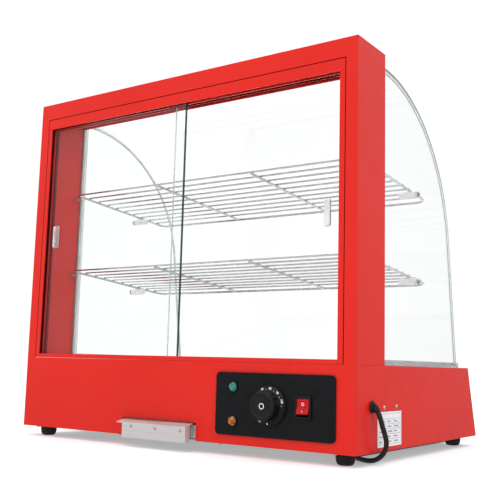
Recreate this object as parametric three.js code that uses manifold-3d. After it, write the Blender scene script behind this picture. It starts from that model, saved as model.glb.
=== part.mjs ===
// Hot food display case: a countertop warmer with a red sheet-metal base and door frame,
// two sliding glass doors on the service side, and flat side panes and a curved pane on the
// customer side. Millimetres, +Z up. The service side faces -Y and the customer side +Y.
// The model is built with Y = 0 on the front sheet's outer face and Z = 0 on the counter,
// and the last lines move it so that the origin is under the middle of the case.
import * as THREE from "three";
import { mergeVertices } from "three/addons/utils/BufferGeometryUtils.js";
import Module from "manifold-3d";

const wasm = await Module();
wasm.setup();

// ---- driving dimensions ----
const SHEET = 1.5; // sheet metal
const GAP = 0.3; // air between two pieces that touch
const HALF = 330; // half of the case's width

const FOOT_HEIGHT = 17;
const BASE_LOW = FOOT_HEIGHT; // lower edge of the base
const BASE_TOP = BASE_LOW + 120;
const BASE_TOP_DEPTH = 435;
const BASE_LOW_DEPTH = 473.4; // the base's customer side slopes outwards
const BACK_SLOPE = (BASE_LOW_DEPTH - BASE_TOP_DEPTH) / (BASE_TOP - BASE_LOW);

const FRAME_TOP = 604.5;
const FRAME_DEPTH = 89.7;
const FLANGE = 19; // front flange of a post
const BEAM = 29; // front flange of the top beam
const DOORWAY_HALF = 301;
const SILL_TOP = BASE_TOP + 7;
const DOORWAY_TOP = FRAME_TOP - BEAM - 19.5;
const LINER_SEAM = 1.4; // shadow gap between the front sheet and the door surround
const LINER_HALF = HALF - FLANGE - LINER_SEAM; // outer side of the jambs and the upper track
const REAR_HALF = 311.5; // the posts and the beam step back from the doorway behind the tracks
const CEILING = FRAME_TOP - 19.5;
const REAR_LIP = FRAME_TOP - 26;
const TRACK_DEPTH = 22;
const LINER_DEPTH = FRAME_DEPTH - SHEET - 0.2;

const GLASS = 5;
const DOOR_HALF_OVERLAP = 14;
const DOOR_OUTER_END = 308;
const DOOR_LOW = BASE_TOP + 2.5;
const DOOR_TOP = DOORWAY_TOP + 12.5;
const OUTER_DOOR_FACE = 3.5; // Y of each door's service-side face
const INNER_DOOR_FACE = 13.5;

const SIDE_GLASS = 310; // X of a side pane's inner face
const CURVE_Y = 118.5; // centre of the curved pane's bend
const CURVE_Z = BASE_LOW + 307;
const CURVE_R = 273;
const CURVE_END = THREE.MathUtils.degToRad(7.88); // the pane runs straight below this angle
const CURVED_HALF = 315;
const PANE_LOW = BASE_TOP + 4;
const SIDE_INSET = 8.5; // from the curved pane's outer face to a side pane's edge

const SHELF_TILT = THREE.MathUtils.degToRad(4.86); // shelves slope down to the customer
const SHELF_PIVOT = 248; // Y of the pegs
const UPPER_SHELF = BASE_LOW + 411; // Z of the side wires over the pegs
const LOWER_SHELF = BASE_LOW + 266;
const SHELF_HALF = 296.5;
const SHELF_FRONT = 74;
const SHELF_BACK = 322;
const FRAME_WIRE = 2.2; // wire radii
const BAR_WIRE = 1.5;
const BARS = 11;
const PEG_RADIUS = 5.5;
const PIN_RADIUS = 3;
const PIN_Y = 79;
const PIN_TIP = 292;

const PANEL = { x0: 98, x1: 300, z0: BASE_LOW + 14, z1: BASE_LOW + 105, thick: 2, corner: 6.5 };
const PANEL_FACE = -GAP - PANEL.thick;
const LAMP_X = 130;
const POWER_LAMP_Z = BASE_LOW + 84;
const HEAT_LAMP_Z = BASE_LOW + 34.5;
const LAMP_RADIUS = 8.3;
const LAMP_HOLE = 6.5;
const KNOB = { x: 194, z: BASE_LOW + 59.3 };
const SHAFT_RADIUS = 3;
const SHAFT_HOLE = 6;
const SWITCH = { x: 250.5, z: BASE_LOW + 59.5 };

const TRAY = { x0: -86, x1: 58, y0: 2.3, y1: 242, z0: BASE_LOW + 3.6, z1: BASE_LOW + 23, wall: 1.2 };
const TRAY_SLOT = { x0: -92, x1: 60, top: BASE_LOW + 26.9 };
const HANDLE = {
  x0: -76,
  x1: 53,
  overhang: 12, // the sloping top runs past the front on the left
  out: 17,
  low: BASE_LOW - 2.5,
  top: BASE_LOW + 21.5,
  backTop: BASE_LOW + 26,
};

const FOOT_X = 298.7;
const FOOT_FRONT = 31.5;
const FOOT_BACK = 440;
const FOOT_RADIUS = 14.5;

const CORD_RADIUS = 3.5;
const EXIT = { x: HALF, y: 48.5, z: BASE_LOW + 63 };
const GLAND_OUT = 3; // how far the gland stands out of the side
const COIL = { x: 219.5, y: 535, inner: 35, outer: 49, low: 0.9, high: 21.9 };

// ---- materials ----
const paint = (color, roughness, metalness = 0) =>
  new THREE.MeshStandardMaterial({ color, roughness, metalness });
const RED = paint(0xd8241f, 0.3);
const BLACK = paint(0x1a1b1d, 0.35);
const STAINLESS = paint(0xb9b8b4, 0.35, 1);
const GALVANISED = paint(0x9fa3a6, 0.5, 1);
const CHROME = paint(0xcfd2d4, 0.12, 1);
const RUBBER = paint(0x121212, 0.8);
const GASKET = paint(0x8f9496, 0.6);
const CLEAR_PLASTIC = paint(0xe6eaea, 0.2);
const GREEN_LENS = paint(0x1f8f7c, 0.15);
const AMBER_LENS = paint(0xb8571c, 0.15);
const RED_LENS = paint(0xd8121a, 0.2);
const GLASS_PANE = new THREE.MeshStandardMaterial({
  color: 0xdfeeea,
  roughness: 0.05,
  transparent: true,
  opacity: 0.3,
});

// ---- solids ----
function solid(geometry) {
  const bare = geometry.clone();
  for (const name of Object.keys(bare.attributes)) {
    if (name !== "position") bare.deleteAttribute(name);
  }
  const merged = mergeVertices(bare, 1e-4);
  return new wasm.Manifold(
    new wasm.Mesh({
      numProp: 3,
      vertProperties: merged.attributes.position.array,
      triVerts: new Uint32Array(merged.index.array),
    }),
  );
}

function geometryOf(body) {
  const mesh = body.getMesh();
  const geometry = new THREE.BufferGeometry();
  geometry.setAttribute("position", new THREE.BufferAttribute(mesh.vertProperties.slice(), 3));
  geometry.setIndex(new THREE.BufferAttribute(mesh.triVerts.slice(), 1));
  geometry.computeVertexNormals();
  return geometry;
}

function join(bodies) {
  return bodies.reduce((all, body) => all.add(body));
}

function cut(body, holes) {
  return holes.reduce((left, hole) => left.subtract(hole), body);
}

function block(x0, x1, y0, y1, z0, z1) {
  const box = new THREE.BoxGeometry(x1 - x0, y1 - y0, z1 - z0);
  return solid(box.translate((x0 + x1) / 2, (y0 + y1) / 2, (z0 + z1) / 2));
}

const shapeOf = (points) => new THREE.Shape(points.map(([a, b]) => new THREE.Vector2(a, b)));
const plain = (depth) => ({ depth, bevelEnabled: false, curveSegments: 6 });
const axes = (...rows) => new THREE.Matrix4().makeBasis(...rows.map((r) => new THREE.Vector3(...r)));
const ALONG_X = axes([0, 1, 0], [0, 0, 1], [1, 0, 0]);
const ALONG_Y = axes([1, 0, 0], [0, 0, 1], [0, -1, 0]);

// An outline of (y, z) points, swept from x0 to x1.
function prismX(outline, x0, x1) {
  const swept = new THREE.ExtrudeGeometry(shapeOf(outline), plain(x1 - x0));
  return solid(swept.applyMatrix4(ALONG_X).translate(x0, 0, 0));
}

// A shape in (x, z), swept from y0 to y1.
function prismY(shape, y0, y1) {
  const swept = new THREE.ExtrudeGeometry(shape, plain(y1 - y0));
  return solid(swept.applyMatrix4(ALONG_Y).translate(0, y1, 0));
}

// An outline of (x, y) points, swept from z0 to z1.
function prismZ(outline, z0, z1) {
  const swept = new THREE.ExtrudeGeometry(shapeOf(outline), plain(z1 - z0));
  return solid(swept.translate(0, 0, z0));
}

const TURN = {
  x: (g) => g.rotateZ(-Math.PI / 2),
  y: (g) => g,
  "-y": (g) => g.rotateX(Math.PI),
  z: (g) => g.rotateX(Math.PI / 2),
};

// A round bar along an axis, from its first end to its last.
function bar(axis, radius, from, to, at, sides = 24) {
  const round = TURN[axis](new THREE.CylinderGeometry(radius, radius, to - from, sides));
  const middle = (from + to) / 2;
  const place = { x: [middle, at[0], at[1]], y: [at[0], middle, at[1]], z: [at[0], at[1], middle] };
  return solid(round.translate(...place[axis]));
}

// A turned piece: (radius, distance along the axis) points.
function turned(axis, profile, sides = 24) {
  const points = profile.map(([r, h]) => new THREE.Vector2(r, h));
  return solid(TURN[axis](new THREE.LatheGeometry(points, sides)));
}

// A path that keeps its own corner points when it is swept.
class Route extends THREE.Curve {
  constructor(points) {
    super();
    this.points = points;
  }
  getPoint(t, target = new THREE.Vector3()) {
    const along = t * (this.points.length - 1);
    const i = Math.min(Math.floor(along), this.points.length - 2);
    return target.lerpVectors(this.points[i], this.points[i + 1], along - i);
  }
  getUtoTmapping(u) {
    return u;
  }
}

const vector = (p) => new THREE.Vector3(...p);

function tube(points, radius, sides) {
  const ring = [];
  for (let i = 0; i < sides; i++) {
    const a = ((i + 0.5) / sides) * 2 * Math.PI;
    ring.push([radius * Math.cos(a), radius * Math.sin(a)]);
  }
  const route = new Route(points.map(vector));
  const steps = points.length - 1;
  return solid(new THREE.ExtrudeGeometry(shapeOf(ring), { steps, extrudePath: route }));
}

function roundedRectangle(x0, x1, z0, z1, r) {
  const shape = new THREE.Shape();
  shape.moveTo(x0 + r, z0);
  shape.lineTo(x1 - r, z0);
  shape.absarc(x1 - r, z0 + r, r, -Math.PI / 2, 0);
  shape.lineTo(x1, z1 - r);
  shape.absarc(x1 - r, z1 - r, r, 0, Math.PI / 2);
  shape.lineTo(x0 + r, z1);
  shape.absarc(x0 + r, z1 - r, r, Math.PI / 2, Math.PI);
  shape.lineTo(x0, z0 + r);
  shape.absarc(x0 + r, z0 + r, r, Math.PI, 1.5 * Math.PI);
  return shape;
}

const mirrored = (body) => body.mirror([1, 0, 0]);

// ---- the group ----
const display_case = new THREE.Group();

function add(name, body, material, parent = display_case) {
  const mesh = new THREE.Mesh(geometryOf(body), material);
  mesh.name = name;
  parent.add(mesh);
  return mesh;
}

function addPair(name, right, material) {
  add(`${name}_left`, mirrored(right), material);
  add(`${name}_right`, right, material);
}

// ---- base and door frame ----
const controlHoles = () => [
  bar("y", LAMP_HOLE, -9, 9, [LAMP_X, POWER_LAMP_Z], 16),
  bar("y", LAMP_HOLE, -9, 9, [LAMP_X, HEAT_LAMP_Z], 16),
  bar("y", SHAFT_HOLE, -9, 9, [KNOB.x, KNOB.z], 16),
  block(SWITCH.x - 11, SWITCH.x + 11, -9, 9, SWITCH.z - 14.5, SWITCH.z + 14.5),
];

// One welded shell: the front sheet of the base, the two posts and the top beam.
function frontFrame() {
  const top = BASE_TOP + GAP;
  const paneTop = CURVE_Z + CURVE_R;
  const lip = HALF - SHEET - GAP; // half of the inward lip under the front sheet
  const walls = [
    block(-HALF, HALF, 0, SHEET, BASE_LOW, FRAME_TOP),
    block(-lip, lip, 0, 15, BASE_LOW, BASE_LOW + SHEET),
    block(-HALF, HALF, 0, FRAME_DEPTH, FRAME_TOP - SHEET, FRAME_TOP),
    block(-HALF, -HALF + SHEET, 0, FRAME_DEPTH, top, FRAME_TOP),
    block(HALF - SHEET, HALF, 0, FRAME_DEPTH, top, FRAME_TOP),
    block(-HALF, HALF, FRAME_DEPTH - SHEET, FRAME_DEPTH, top, FRAME_TOP),
  ];
  const inner = HALF - FLANGE;
  const back = REAR_HALF + GAP;
  const openings = [
    block(-inner, inner, -1, SHEET + 1, BASE_TOP, FRAME_TOP - BEAM),
    block(-back, back, TRACK_DEPTH, FRAME_DEPTH + 1, BASE_TOP - 1, REAR_LIP),
    block(-CURVED_HALF - GAP, CURVED_HALF + GAP, 80, 95, paneTop - GLASS - GAP, paneTop + GAP),
    block(TRAY_SLOT.x0, TRAY_SLOT.x1, -1, 20, BASE_LOW - 1, TRAY_SLOT.top),
    ...controlHoles(),
  ];
  return cut(join(walls), openings);
}

function baseHousing() {
  const skin = SHEET * Math.hypot(1, BACK_SLOPE);
  const backAt = (z) => BASE_LOW_DEPTH - BACK_SLOPE * (z - BASE_LOW);
  const front = SHEET + GAP;
  const outside = [
    [front, BASE_LOW],
    [BASE_LOW_DEPTH, BASE_LOW],
    [BASE_TOP_DEPTH, BASE_TOP],
    [front, BASE_TOP],
  ];
  const roof = BASE_TOP - SHEET;
  const inside = [
    [front - 5, BASE_LOW - 5],
    [backAt(BASE_LOW - 5) - skin, BASE_LOW - 5],
    [backAt(roof) - skin, roof],
    [front - 5, roof],
  ];
  return cut(prismX(outside, -HALF, HALF), [
    prismX(inside, -HALF + SHEET, HALF - SHEET),
    block(-288, 288, 34, 392, roof - 1, BASE_TOP + 1),
    bar("x", 7.6, HALF - 5, HALF + 5, [EXIT.y, EXIT.z], 16),
  ]);
}

function slots(columns, rows, length, width, z0, z1) {
  const holes = [];
  for (const x of columns) {
    for (const y of rows) {
      holes.push(block(x - length / 2, x + length / 2, y - width / 2, y + width / 2, z0, z1));
    }
  }
  return holes;
}

function bottomPlate() {
  const low = BASE_LOW + SHEET + GAP;
  const plate = block(-HALF + 1.8, HALF - 1.8, 2.1, BASE_LOW_DEPTH - 3.4, low, low + 1.2);
  return cut(plate, slots([-220, -140, 140, 220], [180, 260, 340], 50, 6, low - 1, low + 3));
}

function floorPlate() {
  const low = BASE_TOP + GAP;
  const plate = block(-296, 296, 26, 400, low, low + 1.2);
  const columns = [-225, -135, -45, 45, 135, 225];
  return cut(plate, slots(columns, [110, 205, 300], 60, 8, low - 1, low + 3));
}

add("front_frame", frontFrame(), RED);
add("base_housing", baseHousing(), RED);
add("bottom_plate", bottomPlate(), GALVANISED);
add("floor_plate", floorPlate(), STAINLESS);

// ---- door jambs, tracks and doors ----
const FIN = [9.5, 12.5]; // Y of the rib between the two door channels

function jamb() {
  const outer = LINER_HALF;
  const inner = DOORWAY_HALF;
  const outline = [
    [inner, 0],
    [outer, 0],
    [outer, TRACK_DEPTH - SHEET],
    [REAR_HALF + SHEET, TRACK_DEPTH - SHEET],
    [REAR_HALF + SHEET, LINER_DEPTH],
    [REAR_HALF, LINER_DEPTH],
    [REAR_HALF, TRACK_DEPTH],
    [inner, TRACK_DEPTH],
    [inner, TRACK_DEPTH - SHEET],
    [outer - 1, TRACK_DEPTH - SHEET],
    [outer - 1, FIN[1]],
    [inner, FIN[1]],
    [inner, FIN[0]],
    [outer - 1, FIN[0]],
    [outer - 1, SHEET],
    [inner, SHEET],
  ];
  const overlap = 1;
  const split = DOORWAY_TOP - GAP;
  const rear = [REAR_HALF, REAR_HALF + SHEET, TRACK_DEPTH + GAP, LINER_DEPTH];
  return join([
    prismZ(outline, BASE_TOP + GAP, split),
    block(...rear, split - overlap, CEILING + SHEET),
  ]);
}

function upperTrack() {
  const low = DOORWAY_TOP;
  const high = FRAME_TOP - BEAM - LINER_SEAM;
  const outline = [
    [0, low],
    [SHEET, low],
    [SHEET, high - SHEET],
    [FIN[0], high - SHEET],
    [FIN[0], low],
    [FIN[1], low],
    [FIN[1], high - SHEET],
    [TRACK_DEPTH - SHEET, high - SHEET],
    [TRACK_DEPTH - SHEET, low],
    [TRACK_DEPTH, low],
    [TRACK_DEPTH, high],
    [0, high],
  ];
  const ceiling = [
    [TRACK_DEPTH - SHEET, high - SHEET],
    [TRACK_DEPTH, high - SHEET],
    [TRACK_DEPTH, CEILING],
    [LINER_DEPTH, CEILING],
    [LINER_DEPTH, CEILING + SHEET],
    [TRACK_DEPTH - SHEET, CEILING + SHEET],
  ];
  const reach = REAR_HALF - GAP;
  return join([prismX(outline, -LINER_HALF, LINER_HALF), prismX(ceiling, -reach, reach)]);
}

function sill() {
  const low = BASE_TOP + GAP;
  const half = DOORWAY_HALF - GAP;
  const groove = (face) =>
    block(-half - 1, half + 1, face - GAP, face + GLASS + GAP, DOOR_LOW - GAP, SILL_TOP + 1);
  return cut(block(-half, half, 0, TRACK_DEPTH, low, SILL_TOP), [
    groove(OUTER_DOOR_FACE),
    groove(INNER_DOOR_FACE),
  ]);
}

// A glued finger pull: a flat strip with a rib along one edge.
function doorPull(x, face, ribSide) {
  const at = (dx) => x + ribSide * dx;
  const back = face - GAP;
  const outline = [
    [at(-6), back],
    [at(6), back],
    [at(6), back - 4.2],
    [at(3.5), back - 4.2],
    [at(1.5), back - 1.6],
    [at(-5), back - 1.4],
    [at(-6), back - 0.6],
  ];
  if (ribSide > 0) outline.reverse();
  return prismZ(outline, BASE_LOW + 315.5, BASE_LOW + 356.5);
}

addPair("jamb", jamb(), RED);
add("door_track_top", upperTrack(), RED);
add("door_track_bottom", sill(), RED);
for (const [name, side, face] of [
  ["left", -1, OUTER_DOOR_FACE],
  ["right", 1, INNER_DOOR_FACE],
]) {
  const ends = [side * DOOR_OUTER_END, -side * DOOR_HALF_OVERLAP].sort((a, b) => a - b);
  const pane = block(...ends, face, face + GLASS, DOOR_LOW, DOOR_TOP);
  add(`${name}_door_glass`, pane, GLASS_PANE);
  add(`${name}_door_pull`, doorPull(side * 276, face, side), CLEAR_PLASTIC);
}

// ---- glass on the customer side ----
// The pane's side view, moved inwards by an inset, from the door frame down to the deck.
function paneLine(start, inset) {
  const r = CURVE_R - inset;
  const line = [[start, CURVE_Z + r]];
  const steps = 16;
  for (let i = 0; i <= steps; i++) {
    const a = Math.PI / 2 + (CURVE_END - Math.PI / 2) * (i / steps);
    line.push([CURVE_Y + r * Math.cos(a), CURVE_Z + r * Math.sin(a)]);
  }
  const [y, z] = line[line.length - 1];
  line.push([y + (z - PANE_LOW) * Math.tan(CURVE_END), PANE_LOW]);
  return line;
}

function sidePane() {
  const front = FRAME_DEPTH + 2.6;
  const outline = [[front, PANE_LOW], ...paneLine(front, SIDE_INSET).reverse()];
  const screwHole = (z) => bar("x", 2.3, SIDE_GLASS - 2, SIDE_GLASS + 8, [SHELF_PIVOT, z], 12);
  return cut(prismX(outline, SIDE_GLASS, SIDE_GLASS + GLASS), [
    screwHole(pegHeight(UPPER_SHELF)),
    screwHole(pegHeight(LOWER_SHELF)),
  ]);
}

function curvedPane() {
  const start = FRAME_DEPTH - 8;
  const outline = [...paneLine(start, GLASS), ...paneLine(start, 0).reverse()];
  return prismX(outline, -CURVED_HALF, CURVED_HALF);
}

// The side channel runs along the deck and up the back of the post.
function sideGasket() {
  const x0 = SIDE_GLASS - 2;
  const x1 = SIDE_GLASS + GLASS + 2;
  const y0 = FRAME_DEPTH + GAP;
  const low = BASE_TOP + GAP;
  const high = CURVE_Z + CURVE_R - SIDE_INSET - 1;
  const legs = [block(x0, x1, y0, 408, low, low + 8.7), block(x0, x1, y0, y0 + 9, low, high)];
  const grooveX = [SIDE_GLASS - GAP, SIDE_GLASS + GLASS + GAP];
  return cut(join(legs), [block(...grooveX, y0 + 2, 420, PANE_LOW - GAP, high + 1)]);
}

function frontGasket() {
  const low = BASE_TOP + GAP;
  const channel = block(-CURVED_HALF - 2, CURVED_HALF + 2, 411.2, 422, low, low + 8.7);
  return cut(channel, [block(-400, 400, 413.2, 420, PANE_LOW - GAP, low + 20)]);
}

const pegHeight = (shelf) => shelf - FRAME_WIRE - GAP - PEG_RADIUS;

addPair("side_glass", sidePane(), GLASS_PANE);
add("curved_glass", curvedPane(), GLASS_PANE);
addPair("side_gasket", sideGasket(), GASKET);
add("front_gasket", frontGasket(), GASKET);

// ---- shelves ----
// A wire shelf in its own plane: X across, Y from the pegs, Z from the side wires' middle.
function wireShelf() {
  const front = (SHELF_FRONT - SHELF_PIVOT) / Math.cos(SHELF_TILT);
  const back = (SHELF_BACK - SHELF_PIVOT) / Math.cos(SHELF_TILT);
  const corner = 18;
  const bend = (side) => {
    const points = [];
    for (let i = 0; i <= 5; i++) {
      const a = (i / 5) * (Math.PI / 2);
      const x = SHELF_HALF - corner + corner * Math.cos(a);
      points.push([side * x, back - corner + corner * Math.sin(a), 0]);
    }
    return points;
  };
  const hoop = [
    [-SHELF_HALF, front, 0],
    ...bend(-1),
    ...bend(1).reverse(),
    [SHELF_HALF, front, 0],
  ];
  const crossWire = (x) => bar("y", FRAME_WIRE, front, back, [x, 0], 8);
  const wires = [tube(hoop, FRAME_WIRE, 8), crossWire(-100), crossWire(100)];
  const rise = FRAME_WIRE + BAR_WIRE - 0.7;
  const pitch = (back - front) / (BARS - 1);
  for (let i = 0; i < BARS - 1; i++) {
    wires.push(bar("x", BAR_WIRE, -SHELF_HALF, SHELF_HALF, [front + i * pitch + 2, rise], 6));
  }
  return join(wires);
}

const shelfBody = wireShelf();
for (const [level, height] of [
  ["upper", UPPER_SHELF],
  ["lower", LOWER_SHELF],
]) {
  const shelf = new THREE.Group();
  shelf.position.set(0, SHELF_PIVOT, height);
  shelf.rotation.x = -SHELF_TILT;
  add(`${level}_shelf`, shelfBody, CHROME, shelf);
  display_case.add(shelf);

  const pegZ = pegHeight(height);
  const wireOverPin = height + (SHELF_PIVOT - PIN_Y) * Math.tan(SHELF_TILT);
  const pinZ = wireOverPin - (FRAME_WIRE + GAP) / Math.cos(SHELF_TILT) - PIN_RADIUS;
  const glassFace = SIDE_GLASS + GLASS + GAP;
  const peg = cut(bar("x", PEG_RADIUS, SIDE_GLASS - 30, SIDE_GLASS - GAP, [SHELF_PIVOT, pegZ], 16), [
    bar("x", 2.1, SIDE_GLASS - 14, SIDE_GLASS + 1, [SHELF_PIVOT, pegZ], 12),
  ]);
  const screw = join([
    bar("x", 5, glassFace, glassFace + 2.5, [SHELF_PIVOT, pegZ], 16),
    bar("x", 1.8, SIDE_GLASS - 12, glassFace + 1, [SHELF_PIVOT, pegZ], 8),
  ]);
  const pin = bar("x", PIN_RADIUS, PIN_TIP, REAR_HALF - GAP, [PIN_Y, pinZ], 16);
  addPair(`${level}_shelf_peg`, peg, CLEAR_PLASTIC);
  addPair(`${level}_peg_screw`, screw, STAINLESS);
  addPair(`${level}_shelf_pin`, pin, STAINLESS);
}

// ---- controls ----
function controlPanel() {
  const { x0, x1, z0, z1, corner } = PANEL;
  return cut(prismY(roundedRectangle(x0, x1, z0, z1, corner), PANEL_FACE, -GAP), controlHoles());
}

function pilotLamp(z) {
  const lens = [
    [0, 0],
    [5.9, 0],
    [5.9, 20],
    [LAMP_RADIUS, 20],
    [LAMP_RADIUS, 21.5],
    [5.5, 25],
    [0, 26.5],
  ];
  return turned("-y", lens, 12).translate([LAMP_X, PANEL_FACE - GAP + 20, z]);
}

function knob() {
  const bore = SHAFT_RADIUS + GAP;
  const profile = [
    [0, 18],
    [bore, 18],
    [bore, 0],
    [28.5, 0],
    [28.5, 2.2],
    [26.5, 4.6],
    [22.3, 5.6],
    [20.8, 19],
    [19.2, 21.5],
    [0, 21.5],
  ];
  return turned("-y", profile, 36);
}

function thermostatBody() {
  const y0 = SHEET + GAP;
  const can = join([
    bar("y", 19, y0, y0 + 26, [KNOB.x, KNOB.z], 24),
    block(KNOB.x - 16, KNOB.x + 16, y0 + 20, y0 + 38, KNOB.z - 12, KNOB.z + 12),
  ]);
  return cut(can, [bar("y", SHAFT_RADIUS + GAP, y0 - 1, y0 + 10, [KNOB.x, KNOB.z], 16)]);
}

function switchHousing() {
  const face = PANEL_FACE - GAP;
  const { x, z } = SWITCH;
  const outside = [
    block(x - 13, x + 13, face - 2.6, face, z - 16, z + 16),
    block(x - 10.7, x + 10.7, face - 1, 24, z - 14.2, z + 14.2),
  ];
  return cut(join(outside), [block(x - 9.9, x + 9.9, face - 9, 13, z - 12.6, z + 12.6)]);
}

// The rocker's side view, level; its ends stand out and its middle dips.
function rocker() {
  const outline = [
    [-9, -10.8],
    [-9, -10.8 + 1],
    [-7.2, 0],
    [-9, 10.8 - 1],
    [-9, 10.8],
    [2, 6],
    [2, -6],
  ];
  return prismX(outline.reverse(), -9.5, 9.5);
}

add("control_panel", controlPanel(), BLACK);
add("power_lamp", pilotLamp(POWER_LAMP_Z), GREEN_LENS);
add("heat_lamp", pilotLamp(HEAT_LAMP_Z), AMBER_LENS);
add("thermostat_body", thermostatBody(), GALVANISED);
add("thermostat_shaft", bar("y", SHAFT_RADIUS, -19, 11, [KNOB.x, KNOB.z], 16), STAINLESS);
const knobMesh = add("thermostat_knob", knob(), BLACK);
knobMesh.position.set(KNOB.x, PANEL_FACE - 0.5, KNOB.z);
add("switch_housing", switchHousing(), BLACK);
const rockerMesh = add("switch_rocker", rocker(), RED_LENS);
rockerMesh.position.set(SWITCH.x, 2, SWITCH.z);
rockerMesh.rotation.x = THREE.MathUtils.degToRad(-10); // off: the upper half is pressed in

// ---- water tray ----
function waterTray() {
  const { x0, x1, y0, y1, z0, z1, wall } = TRAY;
  const hollow = block(x0 + wall, x1 - wall, y0 + wall, y1 - wall, z0 + wall, z1 + 1);
  return cut(block(x0, x1, y0, y1, z0, z1), [hollow]);
}

// One bent strip: a flange on the tray's front wall, a sloping top, a front and two end returns.
function trayHandle() {
  const { x0, x1, out, low, top } = HANDLE;
  const back = TRAY.y0 - GAP;
  const topAt = (y) => top + ((HANDLE.backTop - top) * (y + out)) / (back + out);
  const strip = [
    [-out, low],
    [-out + SHEET, low],
    [-out + SHEET, topAt(-out + SHEET) - SHEET],
    [back - SHEET, topAt(back - SHEET) - SHEET],
    [back - SHEET, TRAY.z0 + 4],
    [back, TRAY.z0 + 4],
    [back, HANDLE.backTop],
    [-out, top],
  ];
  const slope = [
    [-out, top - SHEET],
    [back, HANDLE.backTop - SHEET],
    [back, HANDLE.backTop],
    [-out, top],
  ];
  const endDepth = 11;
  const end = [
    [-out, low],
    [-out + endDepth, low],
    [-out + endDepth, topAt(-out + endDepth) - SHEET / 2],
    [-out, top - SHEET / 2],
  ];
  return join([
    prismX(strip, x0, x1),
    prismX(slope, x0 - HANDLE.overhang, x1),
    prismX(end, x0, x0 + SHEET),
    prismX(end, x1 - SHEET, x1),
  ]);
}

function trayRunner(side) {
  const wall = side > 0 ? TRAY.x1 + 1 : TRAY.x0 - 1 - SHEET;
  const foot = side > 0 ? wall : wall - 10;
  const low = BASE_LOW + SHEET + GAP + 1.2 + GAP;
  return join([
    block(wall, wall + SHEET, 4, 240, low, low + 14),
    block(foot, foot + 10 + SHEET, 4, 240, low, low + SHEET),
  ]);
}

add("water_tray", waterTray(), STAINLESS);
add("tray_handle", trayHandle(), STAINLESS);
add("tray_runner_left", trayRunner(-1), GALVANISED);
add("tray_runner_right", trayRunner(1), GALVANISED);

// ---- heating element, its brackets and the terminal block ----
const ELEMENT = { r: 4, z: BASE_LOW + 78, reach: 235, rows: [140, 210, 280, 350] };

function heatingElement() {
  const { r, z, reach, rows } = ELEMENT;
  const points = [[reach + 45, rows[0], z]];
  rows.forEach((y, row) => {
    const side = row % 2 ? 1 : -1;
    if (row === rows.length - 1) {
      points.push([reach + 45, y, z]);
      return;
    }
    const bend = (rows[row + 1] - y) / 2;
    for (let i = 0; i <= 6; i++) {
      const a = -Math.PI / 2 + (i / 6) * Math.PI;
      points.push([side * (reach + bend * Math.cos(a)), y + bend + bend * Math.sin(a), z]);
    }
  });
  return tube(points, r, 8);
}

function elementBracket(x) {
  const { r, z, rows } = ELEMENT;
  const low = BASE_LOW + SHEET + GAP + 1.2 + GAP;
  const plate = join([
    block(x, x + SHEET, 110, 380, low, z + 8),
    block(x, x + 12, 110, 380, low, low + SHEET),
  ]);
  return cut(
    plate,
    rows.map((y) => block(x - 1, x + 4, y - r - GAP, y + r + GAP, z - r - GAP, z + 20)),
  );
}

function terminalBlock() {
  const low = BASE_LOW + SHEET + GAP + 1.2 + GAP;
  const body = block(250, 282, 40, 92, low, low + 18);
  const screwHoles = [50, 66, 82].map((y) => bar("z", 3, low + 8, low + 19, [266, y], 10));
  return cut(body, screwHoles);
}

add("heating_element", heatingElement(), GALVANISED);
add("element_bracket_left", elementBracket(-180), GALVANISED);
add("element_bracket_right", elementBracket(170), GALVANISED);
add("terminal_block", terminalBlock(), CLEAR_PLASTIC);

// ---- feet ----
function foot() {
  const profile = [
    [0, 0],
    [8, 0],
    [11.2, 1.6],
    [13, 5],
    [FOOT_RADIUS, FOOT_HEIGHT],
    [FOOT_RADIUS, FOOT_HEIGHT + SHEET],
    [0, FOOT_HEIGHT + SHEET],
  ];
  return solid(TURN.z(new THREE.LatheGeometry(profile.map(([r, h]) => new THREE.Vector2(r, h)), 24)));
}

for (const [end, y] of [
  ["front", FOOT_FRONT],
  ["back", FOOT_BACK],
]) {
  for (const [side, x] of [
    ["left", -FOOT_X],
    ["right", FOOT_X],
  ]) {
    add(`foot_${end}_${side}`, foot(), RUBBER).position.set(x, y, 0);
  }
}

// ---- power cord ----
// The gland grips the side sheet; a tapered boot turns the cord down along the case. The cord
// passes under the case's edge, lies on the counter and ends in a tied coil behind the case.
const BOOT = [
  [330, 48.5, 80.6],
  [335.4, 48.8, 78.2],
  [339.4, 49.6, 72.6],
  [341.4, 50.8, 66.4],
  [342.6, 52.2, 60.4],
];
const FLOOR = CORD_RADIUS + 0.1; // height of the cord's middle where it lies
const CORD = [
  [342.8, 52.5, 59.2],
  [344.2, 55, 51],
  [345.4, 58.6, 42],
  [345.6, 62.2, 33],
  [343.2, 65.6, 23.6],
  [337, 68.6, 14.6],
  [328, 71, 7.8],
  [317, 74.2, 4.2],
  [305, 79, FLOOR],
  [293, 86.6, FLOOR],
  [281, 98.5, FLOOR],
  [272, 114, FLOOR],
  [267, 133, FLOOR],
  [265.2, 156, FLOOR],
  [265, 185, FLOOR],
  [265, 230, FLOOR],
  [265, 280, FLOOR],
  [265, 330, FLOOR],
  [265, 380, FLOOR],
  [265, 430, FLOOR],
  [265, 475, 3.9],
  [265, 510, 4.4],
];

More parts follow.
